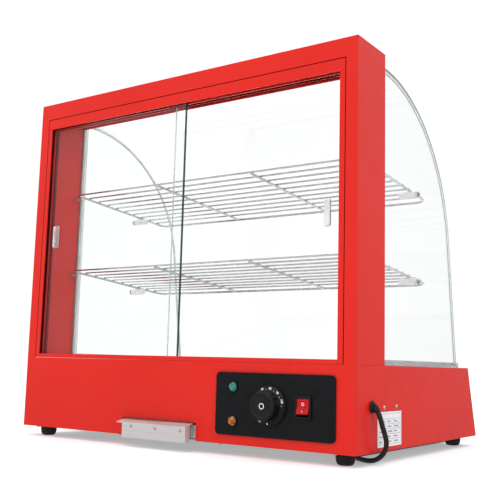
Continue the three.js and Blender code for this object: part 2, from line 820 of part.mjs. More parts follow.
function taperedTube(points, radii, sides) {
  const parts = [];
  for (let i = 0; i < points.length - 1; i++) {
    const a = vector(points[i]);
    const b = vector(points[i + 1]);
    const along = b.clone().sub(a);
    const cone = new THREE.CylinderGeometry(radii[i + 1], radii[i], along.length(), sides);
    const up = new THREE.Vector3(0, 1, 0);
    cone.applyQuaternion(new THREE.Quaternion().setFromUnitVectors(up, along.clone().normalize()));
    cone.translate(...a.add(b).multiplyScalar(0.5).toArray());
    parts.push(solid(cone));
    if (i > 0) {
      const knuckle = new THREE.SphereGeometry(radii[i], sides, 4);
      parts.push(solid(knuckle.translate(...points[i])));
    }
  }
  return join(parts);
}

function gland() {
  const bush = [
    [CORD_RADIUS + GAP, -8],
    [7.3, -8],
    [7.3, GAP],
    [8.4, GAP],
    [8.4, 1.6],
    [6.6, GLAND_OUT],
    [CORD_RADIUS + GAP, GLAND_OUT],
    [CORD_RADIUS + GAP, -8],
  ];
  return turned("x", bush, 16).translate([EXIT.x, EXIT.y, EXIT.z]);
}

// The boot is trimmed flat where it meets the gland.
function boot() {
  const face = EXIT.x + GLAND_OUT + GAP;
  return cut(taperedTube(BOOT, [6.4, 6, 5.5, 4.9, 4.3], 8), [block(face - 20, face, 0, 99, 0, 120)]);
}

function cordTube() {
  const curve = new THREE.CatmullRomCurve3(CORD.map(vector), false, "centripetal");
  const points = curve.getSpacedPoints(44).map((p) => p.toArray());
  return tube(points, CORD_RADIUS, 8);
}

function coilRing() {
  const { inner, outer, low, high } = COIL;
  const section = [
    [inner, low],
    [outer, low],
    [outer, high],
    [inner, high],
    [inner, low],
  ];
  const ring = new THREE.LatheGeometry(section.map(([r, h]) => new THREE.Vector2(r, h)), 24);
  return solid(TURN.z(ring)).translate([COIL.x, COIL.y, 0]);
}

// A strap that closes round the bundle of turns.
function coilTie() {
  const { inner, outer, high } = COIL;
  const side = GAP + 0.2;
  const hole = block(inner - 1 - side, outer + side, -6, 6, 0.6, high + GAP);
  const strap = cut(block(inner - 1.6 - side, outer + side + 0.7, -4, 4, 0, high + 1), [hole]);
  return strap.rotate([0, 0, 225]).translate([COIL.x, COIL.y, 0]);
}

// The plug lies flat on the counter, beside the coil.
function plug() {
  const low = 0.1;
  const middle = low + 10.5;
  const body = prismZ(
    [
      [0, -13],
      [0, 13],
      [-22, 13],
      [-34, 8],
      [-34, -8],
      [-22, -13],
    ].reverse(),
    low,
    low + 21,
  );
  const sleeve = turned("x", [
    [0, 0],
    [6.2, 0],
    [4, 26],
    [0, 26],
  ], 12).translate([-1, 0, middle]);
  const blades = [-6.3, 6.3].map((y) => block(-51, -33, y - 0.8, y + 0.8, middle - 1.5, middle + 4.8));
  const earth = bar("x", 2.4, -54, -33, [0, middle - 5.3], 10);
  return join([body, sleeve, ...blades, earth]);
}

add("cord_gland", gland(), RUBBER);
add("strain_relief", boot(), RUBBER);
add("power_cord", cordTube(), RUBBER);
add("cord_coil", coilRing(), RUBBER);
add("coil_tie", coilTie(), BLACK);
add("plug", plug(), RUBBER).position.set(163, COIL.y + (COIL.inner + COIL.outer) / 2, 0);

// ---- origin: on the counter, under the middle of the case ----
const knobFront = PANEL_FACE - 0.5 - 21.5;
display_case.position.y = -(knobFront + BASE_LOW_DEPTH) / 2;

export default display_case;
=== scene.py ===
import math

import bmesh
import bpy
from mathutils import Matrix, Vector


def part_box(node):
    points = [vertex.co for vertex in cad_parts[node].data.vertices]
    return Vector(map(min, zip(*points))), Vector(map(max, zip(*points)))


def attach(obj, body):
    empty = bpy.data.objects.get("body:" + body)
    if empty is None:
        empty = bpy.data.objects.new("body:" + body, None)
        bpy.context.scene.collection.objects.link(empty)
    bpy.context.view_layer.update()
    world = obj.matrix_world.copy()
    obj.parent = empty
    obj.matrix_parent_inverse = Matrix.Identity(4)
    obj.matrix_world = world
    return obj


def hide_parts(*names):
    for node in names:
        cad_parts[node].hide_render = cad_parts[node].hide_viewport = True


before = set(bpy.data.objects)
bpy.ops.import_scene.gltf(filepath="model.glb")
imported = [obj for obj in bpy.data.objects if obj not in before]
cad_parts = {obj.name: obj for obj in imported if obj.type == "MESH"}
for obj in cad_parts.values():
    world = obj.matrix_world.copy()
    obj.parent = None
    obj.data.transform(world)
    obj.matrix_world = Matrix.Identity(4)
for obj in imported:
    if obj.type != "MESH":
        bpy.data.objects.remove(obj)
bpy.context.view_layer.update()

scene = bpy.context.scene

# ---- the case's own measures: millimetres, Y from the front sheet's face, Z from the counter ----
MM = 0.001
FRONT_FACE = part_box("front_frame")[0].y


def mm_box(node):
    """A CAD node's lowest and highest corner in the case's millimetres."""
    low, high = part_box(node)
    shift = Vector((0, FRONT_FACE, 0))
    return (low - shift) / MM, (high - shift) / MM


def at(x, y, z):
    """A point of the case as a point of the row frame, in metres."""
    return Vector((x * MM, FRONT_FACE + y * MM, z * MM))


HALF = mm_box("front_frame")[1].x
BASE_LOW = mm_box("base_housing")[0].z
LIFT = 0.05  # gap under a small piece that lies on the sheet


# ---- camera, at the photographed standpoint ----
EYE = Vector((0.83434, -1.21318, 0.13608))
AZIMUTH = math.radians(34.630)
PITCH = math.radians(7.959)
ROLL = math.radians(1.461)
LENS = 58.23
SENSOR = 36.0


def make_camera():
    forward = Vector(
        (-math.sin(AZIMUTH) * math.cos(PITCH), math.cos(AZIMUTH) * math.cos(PITCH), math.sin(PITCH))
    )
    level = Vector((math.cos(AZIMUTH), math.sin(AZIMUTH), 0))
    upright = level.cross(forward)
    right = math.cos(ROLL) * level + math.sin(ROLL) * upright
    up = -math.sin(ROLL) * level + math.cos(ROLL) * upright
    data = bpy.data.cameras.new("camera")
    data.lens = LENS
    data.sensor_width = SENSOR
    camera = bpy.data.objects.new("camera", data)
    turn = Matrix((right, up, -forward)).transposed().to_4x4()
    camera.matrix_world = Matrix.Translation(EYE) @ turn
    scene.collection.objects.link(camera)
    scene.camera = camera


# ---- materials ----
class Paint:
    """A Principled material whose colour, roughness and bump are built from noise."""

    def __init__(self, name, metallic=0.0, **constants):
        self.material = bpy.data.materials.new(name)
        self.material.use_nodes = True
        self.tree = self.material.node_tree
        self.shader = self.tree.nodes["Principled BSDF"]
        self.shader.inputs["Metallic"].default_value = metallic
        for socket, value in constants.items():
            self.shader.inputs[socket.replace("_", " ")].default_value = value
        self.place = self.tree.nodes.new("ShaderNodeTexCoord").outputs["Object"]
        self.bumped = None

    def node(self, kind, inputs=(), **settings):
        made = self.tree.nodes.new(kind)
        for key, value in settings.items():
            setattr(made, key, value)
        for key, value in dict(inputs).items():
            if isinstance(value, bpy.types.NodeSocket):
                self.tree.links.new(value, made.inputs[key])
            else:
                made.inputs[key].default_value = value
        return made

    def stretched(self, stretch):
        return self.node("ShaderNodeMapping", {"Vector": self.place, "Scale": stretch}).outputs[0]

    def noise(self, per_metre, detail=3.0, stretch=(1, 1, 1), rough=0.5):
        inputs = {
            "Vector": self.stretched(stretch),
            "Scale": per_metre,
            "Detail": detail,
            "Roughness": rough,
        }
        return self.node("ShaderNodeTexNoise", inputs).outputs[0]

    def cells(self, per_metre, stretch=(1, 1, 1)):
        inputs = {"Vector": self.stretched(stretch), "Scale": per_metre}
        return self.node("ShaderNodeTexVoronoi", inputs).outputs["Color"]

    def spread(self, value, low, high, start=0.3, end=0.7):
        inputs = {0: value, 1: start, 2: end, 3: low, 4: high}
        return self.node("ShaderNodeMapRange", inputs).outputs[0]

    def colour(self, value, low, high):
        inputs = {0: self.spread(value, 0.0, 1.0), 6: (*low, 1), 7: (*high, 1)}
        mixed = self.node("ShaderNodeMix", inputs, data_type="RGBA").outputs[2]
        self.tree.links.new(mixed, self.shader.inputs["Base Color"])
        return self

    def roughness(self, value, low, high):
        self.tree.links.new(self.spread(value, low, high), self.shader.inputs["Roughness"])
        return self

    def bump(self, value, depth, strength=1.0):
        """Adds relief of this depth in metres."""
        inputs = {"Height": value, "Distance": depth, "Strength": strength}
        if self.bumped:
            inputs["Normal"] = self.bumped
        self.bumped = self.node("ShaderNodeBump", inputs).outputs[0]
        self.tree.links.new(self.bumped, self.shader.inputs["Normal"])
        return self

    def paint_seam_shade(self, distance, dark):
        """Paints shade into the colour: darker where surfaces meet or stand close, within this distance in
        metres.
        """
        open_colour = self.shader.inputs["Base Color"].links[0].from_socket
        # ambient occlusion paints shade into the base colour in seams, grooves and recesses
        clear = self.node("ShaderNodeAmbientOcclusion", {"Distance": distance}, samples=6).outputs["AO"]
        inputs = {0: clear, 6: (*dark, 1), 7: open_colour}
        mixed = self.node("ShaderNodeMix", inputs, data_type="RGBA").outputs[2]
        self.tree.links.new(mixed, self.shader.inputs["Base Color"])
        return self

    def clear_to_lamps(self, tint):
        """Lets light from the lamps and the sky pass, as thin glass does."""
        clear = self.node("ShaderNodeBsdfTransparent", {"Color": (*tint, 1)}).outputs[0]
        ray = self.node("ShaderNodeLightPath").outputs["Is Shadow Ray"]
        inputs = {0: ray, 1: self.shader.outputs[0], 2: clear}
        mixed = self.node("ShaderNodeMixShader", inputs).outputs[0]
        self.tree.links.new(mixed, self.tree.nodes["Material Output"].inputs["Surface"])
        return self


def red_paint():
    p = Paint("red_paint", Specular_IOR_Level=0.26, Coat_Weight=0.06, Coat_Roughness=0.25)
    p.colour(p.noise(5, 2), (0.62, 0.009, 0.003), (0.67, 0.012, 0.005))
    # painted shade: the red goes down to this deep red within 12 mm of other surfaces, in seams and
    # grooves
    p.paint_seam_shade(0.012, (0.14, 0.005, 0.004))
    p.roughness(p.noise(34, 4), 0.30, 0.38)
    return p.bump(p.noise(520, 2), 0.00006).bump(p.noise(3, 1), 0.0012, 0.5).material


def galvanised():
    p = Paint("galvanised", 1.0)
    p.colour(p.cells(90), (0.36, 0.38, 0.40), (0.52, 0.54, 0.56))
    p.roughness(p.cells(90), 0.36, 0.52)
    return p.bump(p.noise(600, 2), 0.00003).material


def stainless():
    p = Paint("stainless", 0.62, Anisotropic=0.4)
    brushed = p.noise(1, 4, (12, 1500, 1500), 0.6)
    p.colour(brushed, (0.74, 0.72, 0.71), (0.90, 0.88, 0.87))
    # painted shade: the steel goes down to this dark brown-grey within 14 mm of other surfaces, such as
    # the handle under the base front
    p.paint_seam_shade(0.014, (0.16, 0.13, 0.12))
    p.roughness(brushed, 0.42, 0.56)
    return p.bump(brushed, 0.00003).bump(p.noise(14, 1), 0.0006, 0.4).material


def element_steel():
    p = Paint("element_steel", 1.0)
    p.colour(p.noise(30, 5), (0.10, 0.085, 0.075), (0.30, 0.25, 0.21))
    p.roughness(p.noise(220, 3), 0.42, 0.68)
    return p.bump(p.noise(1300, 2), 0.00004).material


def chrome():
    p = Paint("chrome_wire", 1.0)
    p.colour(p.noise(90, 3), (0.40, 0.41, 0.42), (0.54, 0.55, 0.56))
    p.roughness(p.noise(260, 3), 0.07, 0.17)
    return p.bump(p.noise(900, 2), 0.00002).material


def glass():
    p = Paint("glass", Transmission_Weight=1.0, IOR=1.3)
    p.colour(p.noise(2, 1), (0.982, 0.996, 0.992), (0.988, 0.998, 0.995))
    p.roughness(p.noise(9, 2), 0.0, 0.01)
    return p.bump(p.noise(4, 1), 0.0001, 0.2).clear_to_lamps((0.975, 0.99, 0.985)).material


def glass_edge(name, deep, bright, through):
    p = Paint(name, Transmission_Weight=through, IOR=1.45)
    p.colour(p.noise(60, 3), deep, bright)
    p.roughness(p.noise(700, 3), 0.12, 0.30)
    return p.bump(p.noise(1500, 2), 0.00003).material


def moulded(name, dark, light, low, high, grain=1500, depth=0.00003, **constants):
    p = Paint(name, **constants)
    p.colour(p.noise(45, 4), dark, light)
    p.roughness(p.noise(300, 3), low, high)
    return p.bump(p.noise(grain, 2), depth).material


def lens(name, deep, bright):
    p = Paint(name, Transmission_Weight=0.45, IOR=1.49, Coat_Weight=0.4, Coat_Roughness=0.05)
    p.colour(p.cells(420), deep, bright)
    return p.roughness(p.noise(700, 2), 0.04, 0.14).material


def metal(name, dark, light, low, high):
    p = Paint(name, 0.85)
    p.colour(p.noise(700, 3), dark, light)
    p.roughness(p.noise(900, 3), low, high)
    return p.bump(p.noise(1800, 2), 0.00002).material


RED = red_paint()
GALVANISED = galvanised()
STAINLESS = stainless()
ELEMENT = element_steel()
CHROME = chrome()
GLASS = glass()
GREEN_EDGE = glass_edge("glass_edge_green", (0.012, 0.05, 0.04), (0.03, 0.095, 0.075), 0.3)
PALE_EDGE = glass_edge("glass_edge_pale", (0.42, 0.55, 0.51), (0.58, 0.70, 0.66), 0.6)
BRASS = metal("brass_plating", (0.88, 0.68, 0.36), (0.98, 0.84, 0.55), 0.22, 0.36)
ZINC = metal("zinc_plating", (0.52, 0.51, 0.48), (0.72, 0.71, 0.68), 0.24, 0.42)
PANEL = moulded(
    "panel_black",
    (0.0055, 0.0065, 0.0075),
    (0.008, 0.009, 0.0105),
    0.30,
    0.38,
    Specular_IOR_Level=0.18,
)
BLACK = moulded(
    "black_plastic",
    (0.005, 0.0055, 0.006),
    (0.011, 0.0115, 0.012),
    0.30,
    0.42,
    Specular_IOR_Level=0.3,
)
RUBBER = moulded("rubber", (0.007, 0.007, 0.007), (0.016, 0.016, 0.016), 0.6, 0.82, 900, 0.00008)
CORD_SHEATH = moulded("cord_sheath", (0.008, 0.008, 0.0085), (0.016, 0.016, 0.017), 0.36, 0.5)
GASKET = moulded(
    "gasket", (0.72, 0.76, 0.76), (0.82, 0.86, 0.86), 0.10, 0.20, Transmission_Weight=0.8, IOR=1.4
)
SILICONE = moulded("silicone", (0.62, 0.66, 0.65), (0.72, 0.76, 0.75), 0.35, 0.5)
CLEAR_PLASTIC = moulded(
    "clear_plastic", (0.86, 0.89, 0.88), (0.94, 0.96, 0.95), 0.06, 0.16, Transmission_Weight=0.88
)
PEG_PLASTIC = moulded("peg_plastic", (0.88, 0.89, 0.88), (0.95, 0.96, 0.95), 0.28, 0.42)
TERMINAL_PLASTIC = moulded("terminal_plastic", (0.66, 0.64, 0.59), (0.76, 0.74, 0.69), 0.4, 0.5)
ROCKER = moulded(
    "rocker_red",
    (0.42, 0.002, 0.004),
    (0.56, 0.006, 0.008),
    0.14,
    0.24,
    Specular_IOR_Level=0.3,
    Transmission_Weight=0.1,
)
GREEN_LENS = lens("green_lens", (0.01, 0.22, 0.18), (0.06, 0.55, 0.46))
AMBER_LENS = lens("amber_lens", (0.40, 0.10, 0.01), (0.85, 0.30, 0.06))
INK = moulded("white_ink", (0.72, 0.73, 0.74), (0.82, 0.83, 0.84), 0.4, 0.55)
LABEL = moulded("label_film", (0.74, 0.75, 0.77), (0.82, 0.83, 0.85), 0.3, 0.42)
LABEL_INK = moulded("label_ink", (0.22, 0.23, 0.26), (0.32, 0.33, 0.37), 0.4, 0.5)


# ---- mesh helpers ----
def show(name, bm, materials, body, replaces=(), sharp=40.0):
    """Turns a bmesh, already in the row frame, into a piece that rides on a body."""
    mesh = bpy.data.meshes.new(name)
    bm.to_mesh(mesh)
    bm.free()
    mesh.shade_smooth()
    mesh.set_sharp_from_angle(angle=math.radians(sharp))
    for material in materials:
        mesh.materials.append(material)
    piece = bpy.data.objects.new(name, mesh)
    scene.collection.objects.link(piece)
    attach(piece, body)
    if replaces:
        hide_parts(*replaces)
    return piece


SWEEPS = {
    "x": lambda a, b, h: at(h, a, b),
    "y": lambda a, b, h: at(a, h, b),
    "z": lambda a, b, h: at(a, b, h),
}


def close_up(bm):
    bmesh.ops.recalc_face_normals(bm, faces=bm.faces)
    return bm


def prism(bm, axis, outline, low, high):
    """Adds an outline of two coordinates, swept along the axis from low to high."""
    point = SWEEPS[axis]
    rings = [[bm.verts.new(point(a, b, h)) for a, b in outline] for h in (low, high)]
    count = len(outline)
    made = [bm.faces.new(rings[0][::-1]), bm.faces.new(rings[1])]
    for i in range(count):
        j = (i + 1) % count
        made.append(bm.faces.new((rings[0][i], rings[0][j], rings[1][j], rings[1][i])))
    bmesh.ops.recalc_face_normals(bm, faces=made)
    return made


def block(bm, x0, x1, y0, y1, z0, z1):
    return prism(bm, "z", [(x0, y0), (x1, y0), (x1, y1), (x0, y1)], z0, z1)


def bevel(bm, width, steps=3, over=30.0):
    """Rounds every edge that turns by more than the angle."""
    close_up(bm)
    edges = [
        e for e in bm.edges if e.is_manifold and e.calc_face_angle(0.0) > math.radians(over)
    ]
    bmesh.ops.bevel(
        bm, geom=edges, offset=width * MM, segments=steps, profile=0.5, affect="EDGES", clamp_overlap=True
    )
    return bm


def frame_along(axis):
    """Two directions across an axis, and the axis itself."""
    axis = Vector(axis).normalized()
    side = Vector((0, 0, 1)) if abs(axis.z) < 0.9 else Vector((1, 0, 0))
    across = side.cross(axis).normalized()
    return across, axis.cross(across), axis


def bridge(bm, rings, closed=False):
    """Joins rings of vertices; a ring of one vertex is a tip. An open end is capped."""
    pairs = list(zip(rings, rings[1:]))
    if closed:
        pairs.append((rings[-1], rings[0]))
    for low, high in pairs:
        for i in range(max(len(low), len(high))):
            j = i + 1
            corners = [low[i % len(low)], low[j % len(low)], high[j % len(high)], high[i % len(high)]]
            bm.faces.new(list(dict.fromkeys(corners)))
    if not closed:
        for ring in (rings[0], rings[-1]):
            if len(ring) > 2:
                bm.faces.new(ring)
    return close_up(bm)


def lathe(bm, axis, centre, profile, sides=48, closed=False, radius_of=None):
    """Adds a turned piece from (radius, height) points along an axis."""
    u, v, w = frame_along(axis)
    rings = []
    for radius, height in profile:
        middle = at(*centre) + w * height * MM
        ring = []
        for i in range(sides if radius else 1):
            a = 2 * math.pi * i / sides
            r = radius * MM
            if radius_of:
                r *= radius_of(a, height)
            ring.append(bm.verts.new(middle + (u * math.cos(a) + v * math.sin(a)) * r))
        rings.append(ring)
    return bridge(bm, rings, closed)


def rounded(profile, radius, steps=3):
    """Rounds the inner corners of an open line of points with small arcs."""
    line = [Vector(p) for p in profile]
    made = [tuple(line[0])]
    for before, corner, after in zip(line, line[1:], line[2:]):
        reach = min(radius, (before - corner).length / 2.05, (after - corner).length / 2.05)
        a = corner + (before - corner).normalized() * reach
        b = corner + (after - corner).normalized() * reach
        for i in range(steps + 1):
            t = i / steps
            made.append(tuple(a * (1 - t) ** 2 + corner * 2 * t * (1 - t) + b * t * t))
    made.append(tuple(line[-1]))
    return made


def smooth_line(points, per_span=6):
    """A centripetal Catmull-Rom line through points in metres."""
    pts = [Vector(p) for p in points]
    pts = [pts[0] * 2 - pts[1], *pts, pts[-1] * 2 - pts[-2]]
    line = []
    for p0, p1, p2, p3 in zip(pts, pts[1:], pts[2:], pts[3:]):
        t1 = (p1 - p0).length ** 0.5
        t2 = t1 + (p2 - p1).length ** 0.5
        t3 = t2 + (p3 - p2).length ** 0.5
        for i in range(per_span):
            t = t1 + (t2 - t1) * i / per_span
            a1 = p0 * ((t1 - t) / t1) + p1 * (t / t1)
            a2 = p1 * ((t2 - t) / (t2 - t1)) + p2 * ((t - t1) / (t2 - t1))
            a3 = p2 * ((t3 - t) / (t3 - t2)) + p3 * ((t - t2) / (t3 - t2))
            b1 = a1 * ((t2 - t) / t2) + a2 * (t / t2)
            b2 = a2 * ((t3 - t) / (t3 - t1)) + a3 * ((t - t1) / (t3 - t1))
            line.append(b1 * ((t2 - t) / (t2 - t1)) + b2 * ((t - t1) / (t2 - t1)))
    line.append(pts[-2])
    return line


def wire(name, lines, radius, material, body, replaces=(), sides=3):
    """A curve piece with one open spline for each line of points in metres."""
    data = bpy.data.curves.new(name, "CURVE")
    data.dimensions = "3D"
    data.bevel_depth = radius * MM
    data.bevel_resolution = sides
    data.use_fill_caps = True
    for line in lines:
        spline = data.splines.new("POLY")
        spline.points.add(len(line) - 1)
        for point, place in zip(spline.points, line):
            point.co = (*place, 1)
    data.materials.append(material)
    piece = bpy.data.objects.new(name, data)
    scene.collection.objects.link(piece)
    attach(piece, body)
    if replaces:
        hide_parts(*replaces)
    return piece


def sweep(bm, line, radii, sides=24):
    """Adds a tube along points in metres, with a radius in millimetres at each of them."""
    tangents = [(b - a).normalized() for a, b in zip(line, line[1:])]
    tangents.append(tangents[-1])
    u = frame_along(tangents[0])[0]
    rings = []
    for place, along, radius in zip(line, tangents, radii):
        u = (u - along * u.dot(along)).normalized()
        v = along.cross(u)
        turns = [2 * math.pi * i / sides for i in range(sides)]
        offsets = [(u * math.cos(a) + v * math.sin(a)) * radius * MM for a in turns]
        rings.append([bm.verts.new(place + offset) for offset in offsets])
    return bridge(bm, rings)


def dress(nodes, material, width=0.5, steps=2):
    """Gives CAD nodes a material, and softens their edges with modifiers only."""
    for name in nodes:
        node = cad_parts[name]
        node.data.materials.clear()
        node.data.materials.append(material)
        node.data.shade_smooth()
        flat = node.modifiers.new("merge_coplanar", "DECIMATE")
        flat.decimate_type = "DISSOLVE"
        flat.angle_limit = math.radians(0.5)
        soft = node.modifiers.new("soft_edges", "BEVEL")
        soft.width = width * MM
        soft.segments = steps
        soft.limit_method = "ANGLE"
        soft.angle_limit = math.radians(25)
        soft.harden_normals = True


# ---- cord ----
CORD_RADIUS = 3.5
FLOOR = CORD_RADIUS + 0.1
GLAND = ((HALF + 3, 48.5, 80), (HALF + 3.2, 48.6, 79.6))
BOOT = (
    (330, 48.5, 80.6),
    (335.4, 48.8, 78.2),
    (339.4, 49.6, 72.6),
    (341.4, 50.8, 66.4),
    (342.6, 52.2, 60.4),
)
BOOT_SHARE = 0.5  # how much of that line the boot covers
BOOT_WIDE, BOOT_NARROW = 5.8, 4.2
BOOT_RIDGE = 0.35
CORD = (
    (342.8, 52.5, 59.2),
    (344.2, 55, 51),
    (345.4, 58.6, 42),
    (345.6, 62.2, 33),
    (343.2, 65.6, 23.6),
    (337, 68.6, 14.6),
    (328, 71, 7.8),
    (317, 74.2, 4.2),
    (305, 79, FLOOR),
    (293, 86.6, FLOOR),
    (281, 98.5, FLOOR),
    (272, 114, FLOOR),
    (267, 133, FLOOR),
    (265.2, 156, FLOOR),
    (265, 185, FLOOR),
    (265, 230, FLOOR),
    (265, 280, FLOOR),
    (265, 330, FLOOR),
    (265, 380, FLOOR),
    (265, 430, FLOOR),
    (265, 475, 3.9),
    (265, 510, 4.4),
)
COIL_LOW, COIL_HIGH = mm_box("cord_coil")
COIL_X = (COIL_LOW.x + COIL_HIGH.x) / 2
COIL_Y = (COIL_LOW.y + COIL_HIGH.y) / 2
COIL_OUTER = (COIL_HIGH.x - COIL_LOW.x) / 2
LANE = 2 * CORD_RADIUS
LANE_STEP = 60.0
PLUG_LOW, PLUG_HIGH = mm_box("plug")
PLUG_MIDDLE = 10.6


def coil_points():
    """The turns as points: lanes side by side and on each other, joined by short ramps."""
    outer = COIL_OUTER - CORD_RADIUS
    inner = outer - LANE
    low = COIL_LOW.z + CORD_RADIUS
    lanes = [
        (0, outer, low),
        (300, inner, low),
        (600, inner, low + LANE),
        (900, outer, low + LANE),
        (1260, outer - LANE / 2, low + 2 * LANE),
    ]
    end = 1530
    points = []
    for degrees in range(0, end + 1, 15):
        radius, height = lanes[0][1:]
        for start, r, z in lanes[1:]:
            t = min(max((degrees - start) / LANE_STEP, 0.0), 1.0)
            t = t * t * (3 - 2 * t)
            radius += (r - radius) * t
            height += (z - height) * t
        a = math.radians(degrees)
        points.append((COIL_X + radius * math.cos(a), COIL_Y + radius * math.sin(a), height))
    return points


def make_cord():
    """From the gland down the side, under the base, round the coil and into the plug."""
    route = [*GLAND[:1], *BOOT[1:], *CORD[1:], *coil_points()]
    top = route[-1]
    sleeve_end = PLUG_HIGH.x
    tail = [
        (top[0] - 8, top[1], top[2] - 0.4),
        (top[0] - 16, top[1], top[2] - 2.2),
        (top[0] - 24, top[1], PLUG_MIDDLE + 2.0),
        (sleeve_end - 1, top[1], PLUG_MIDDLE),
        (sleeve_end - 10, top[1], PLUG_MIDDLE),
    ]
    line = smooth_line([at(*p) for p in [*route, *tail]], 4)
    stands_for = ("power_cord", "cord_coil")
    return wire("cord", [line], CORD_RADIUS, CORD_SHEATH, "case", stands_for, sides=5)


def make_boot():
    """The ribbed, tapering strain relief that turns the cord down the case's side."""
    line = smooth_line([at(*GLAND[0]), *[at(*p) for p in BOOT[1:]]], 10)
    line = line[: int(len(line) * BOOT_SHARE)]
    count = len(line) - 1
    radii = []
    for i in range(count + 1):
        t = i / count
        groove = BOOT_RIDGE if 0.12 < t < 0.9 and int(t * 14) % 2 else 0.0
        rounding = 0.5 if i in (0, count) else 0.0
        radii.append(BOOT_WIDE - (BOOT_WIDE - BOOT_NARROW) * t - groove - rounding)
    bm = sweep(bmesh.new(), line, radii, 28)
    return show("cord_boot", bm, [RUBBER], "case", ("strain_relief",), 60)


def make_gland():
    bm = bmesh.new()
    ring = [(3.8, -8), (7.0, -8), (7.2, 0.3), (8.0, 0.4), (8.35, 0.9), (8.2, 1.7), (6.9, 2.8), (3.8, 3.0)]
    lathe(bm, (1, 0, 0), (HALF, 48.5, 80), [(0, -7.5), *ring, (0, 2.4)], 40)
    return show("gland", bm, [RUBBER], "case", ("cord_gland",), 50)


def make_tie():
    dress(["coil_tie"], BLACK, 0.5)
    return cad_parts["coil_tie"]


def make_plug():
    """A moulded three-pin plug: a soft body, a ribbed sleeve and brass blades."""
    x0 = PLUG_LOW.x + 20
    y = (PLUG_LOW.y + PLUG_HIGH.y) / 2
    sections = [
        (0, 7.2, 7.6),
        (1, 8.6, 9.2),
        (4, 9.6, 10.1),
        (12, 12.4, 10.4),
        (22, 12.9, 10.4),
        (29, 12.2, 10.0),
        (33, 9.4, 8.6),
        (35, 5.8, 6.0),
    ]
    for i in range(9):
        rib = 5.6 - 0.18 * i - (0.5 if i % 2 else 0)
        sections.append((36.4 + 2.6 * i, rib, rib))
    bm = bmesh.new()
    rings = []
    sides = 32
    for dx, half_y, half_z in sections:
        ring = []
        for i in range(sides):
            a = 2 * math.pi * i / sides
            square = 0.55 if dx < 33 else 1.0
            c = math.copysign(abs(math.cos(a)) ** square, math.cos(a))
            s = math.copysign(abs(math.sin(a)) ** square, math.sin(a))
            ring.append(bm.verts.new(at(x0 + dx, y + half_y * c, PLUG_MIDDLE + half_z * s)))
        rings.append(ring)
    bridge(bm, rings)
    body = show("plug_body", bm, [CORD_SHEATH], "case", ("plug",), 50)
    pins = bmesh.new()
    for side in (-6.3, 6.3):
        block(pins, x0 - 17, x0 + 1, y + side - 0.8, y + side + 0.8, PLUG_MIDDLE - 1.5, PLUG_MIDDLE + 4.8)
    bevel(pins, 0.5, 2)
    earth_pin = rounded([(0, 0), (2.35, 0), (2.35, 20.4), (0, 20.6)], 1.6)
    lathe(pins, (-1, 0, 0), (x0 + 1, y, PLUG_MIDDLE - 5.3), earth_pin, 20)
    blades = show("plug_pins", pins, [BRASS], "case", (), 40)
    return body, blades


make_camera()
cord = make_cord()
boot = make_boot()
gland = make_gland()
tie = make_tie()
plug_body, plug_pins = make_plug()


# ---- floor and light ----
WHITE = 1.04  # strength of the backdrop
FLOOR_GLOW = 0.32
FLOOR_RADIUS = 9.0


def make_studio():
    bm = bmesh.new()
    bmesh.ops.create_circle(bm, cap_ends=True, segments=96, radius=FLOOR_RADIUS)
    mesh = bpy.data.meshes.new("floor")
    bm.to_mesh(mesh)
    bm.free()
    p = Paint("studio_floor")
    p.colour(p.noise(0.7, 2), (0.90, 0.90, 0.90), (0.93, 0.93, 0.93))
    p.roughness(p.noise(20, 2), 0.75, 0.85)
    p.shader.inputs["Emission Color"].default_value = (1, 1, 1, 1)
    p.shader.inputs["Emission Strength"].default_value = FLOOR_GLOW
    mesh.materials.append(p.material)
    floor = bpy.data.objects.new("floor", mesh)
    scene.collection.objects.link(floor)
    floor.visible_glossy = False

    world = bpy.data.worlds.new("studio")
    scene.world = world
    world.use_nodes = True
    nodes, links = world.node_tree.nodes, world.node_tree.links
    direction = nodes.new("ShaderNodeTexCoord").outputs["Generated"]
    parts = nodes.new("ShaderNodeSeparateXYZ")
    links.new(direction, parts.inputs[0])

    def fade(axis, start, end, low, high):
        made = nodes.new("ShaderNodeMapRange")
        made.interpolation_type = "SMOOTHSTEP"
        for socket, value in ((1, start), (2, end), (3, low), (4, high)):
            made.inputs[socket].default_value = value
        links.new(parts.outputs[axis], made.inputs[0])
        return made.outputs[0]

    def multiply(first, second):
        made = nodes.new("ShaderNodeMath")
        made.operation = "MULTIPLY"
        links.new(first, made.inputs[0])
        links.new(second, made.inputs[1])
        return made.outputs[0]

    # white all round, softer to the right; gloss sees a dimmer room, so that colours stay deep,
    # and the plain backdrop is the same on every side
    room = fade("X", 0.2, 0.95, WHITE, 0.88)
    seen_in_gloss = multiply(fade("Z", -0.3, 0.75, 0.3, 0.85), room)
    path = nodes.new("ShaderNodeLightPath")
    gloss = multiply(path.outputs["Is Glossy Ray"], path.outputs["Is Reflection Ray"])
    strength = nodes.new("ShaderNodeMix")
    links.new(gloss, strength.inputs[0])
    links.new(room, strength.inputs[2])
    links.new(seen_in_gloss, strength.inputs[3])
    backdrop = nodes.new("ShaderNodeMix")
    backdrop.inputs[3].default_value = WHITE
    links.new(path.outputs["Is Camera Ray"], backdrop.inputs[0])
    links.new(strength.outputs[0], backdrop.inputs[2])
    links.new(backdrop.outputs[0], nodes["Background"].inputs["Strength"])
    nodes["Background"].inputs["Color"].default_value = (1, 1, 1, 1)

    for name, place, target, size, power in (
        ("key", (0.6, -2.6, 2.6), (0, 0, 0.3), 2.0, 17),
        ("top", (0.1, 0.3, 2.8), (0, 0, 0.2), 2.0, 14),
    ):
        lamp = bpy.data.lights.new(name, "AREA")
        lamp.size = size
        lamp.energy = power
        holder = bpy.data.objects.new(name, lamp)
        holder.location = place
        aim = Vector(target) - Vector(place)
        holder.rotation_mode = "QUATERNION"
        holder.rotation_quaternion = aim.to_track_quat("-Z", "Y")
        scene.collection.objects.link(holder)
    scene.view_settings.view_transform = "Standard"


make_studio()


